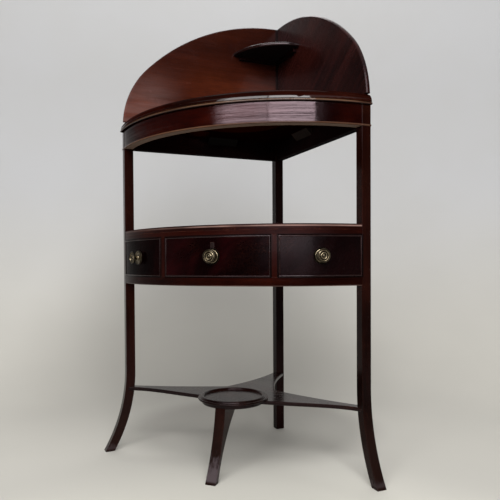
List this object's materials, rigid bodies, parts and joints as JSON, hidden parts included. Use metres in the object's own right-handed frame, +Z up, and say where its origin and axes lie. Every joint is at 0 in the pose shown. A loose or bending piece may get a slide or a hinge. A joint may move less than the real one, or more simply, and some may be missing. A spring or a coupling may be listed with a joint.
{
  "type": "corner washstand",
  "caption": "Bow-fronted mahogany corner washstand with curved splash boards, corner shelf, pierced top, drawer tier, sabre legs and a low platform with a jug dish.",
  "frame": {"origin": "on the floor, midway between the line where the two back walls meet and the toe of the centre foot, on the plane of symmetry", "axes": "+Z up, -Y to the front, the way the bow faces and the drawer opens, +X to the right seen from the front"},
  "size_m": [0.7022, 0.4633, 1.13],
  "materials": {
    "mahogany": "dark red-brown French polish, glossy",
    "inside_wood": "plain dry pine and oak",
    "brass": "aged, dull lacquered brass"
  },
  "bodies": {
    "stand": {"front_leg_left": "mahogany", "front_leg_right": "mahogany", "back_leg": "mahogany", "centre_foot": "mahogany", "platform": "mahogany", "jug_dish": "mahogany", "top_board": "mahogany", "frieze_rail": "mahogany", "frieze_bead": "mahogany", "splash_board_left": "mahogany", "splash_board_right": "mahogany", "corner_shelf": "mahogany", "shelf_cleat_left": "mahogany", "shelf_cleat_right": "mahogany", "tier_top_board": "mahogany", "tier_bottom_board": "mahogany", "tier_front_rail": "mahogany", "tier_panel_left": "mahogany", "tier_panel_right": "mahogany", "divider_left": "mahogany", "divider_right": "mahogany", "false_front_left": "mahogany", "false_front_right": "mahogany", "false_bead_left": "mahogany", "false_bead_right": "mahogany", "top_rail_left": "inside_wood", "top_rail_right": "inside_wood", "glue_block_left": "inside_wood", "glue_block_right": "inside_wood", "drawer_stop_left": "inside_wood", "drawer_stop_right": "inside_wood", "knob_left": "brass", "knob_right": "brass", "knob_rose_left": "brass", "knob_rose_right": "brass", "knob_nut_left": "brass", "knob_nut_right": "brass"},
    "drawer": {"drawer_front": "mahogany", "drawer_bead": "mahogany", "drawer_side_left": "inside_wood", "drawer_side_right": "inside_wood", "drawer_back": "inside_wood", "drawer_bottom": "inside_wood", "keyhole_patch": "inside_wood", "knob_centre": "brass", "knob_rose_centre": "brass", "knob_nut_centre": "brass"}
  },
  "joints": [
    {"name": "drawer_slide", "type": "slide", "parent": "stand", "child": "drawer", "axis": [0, -1, 0], "range_m": [0, 0.2]}
  ]
}
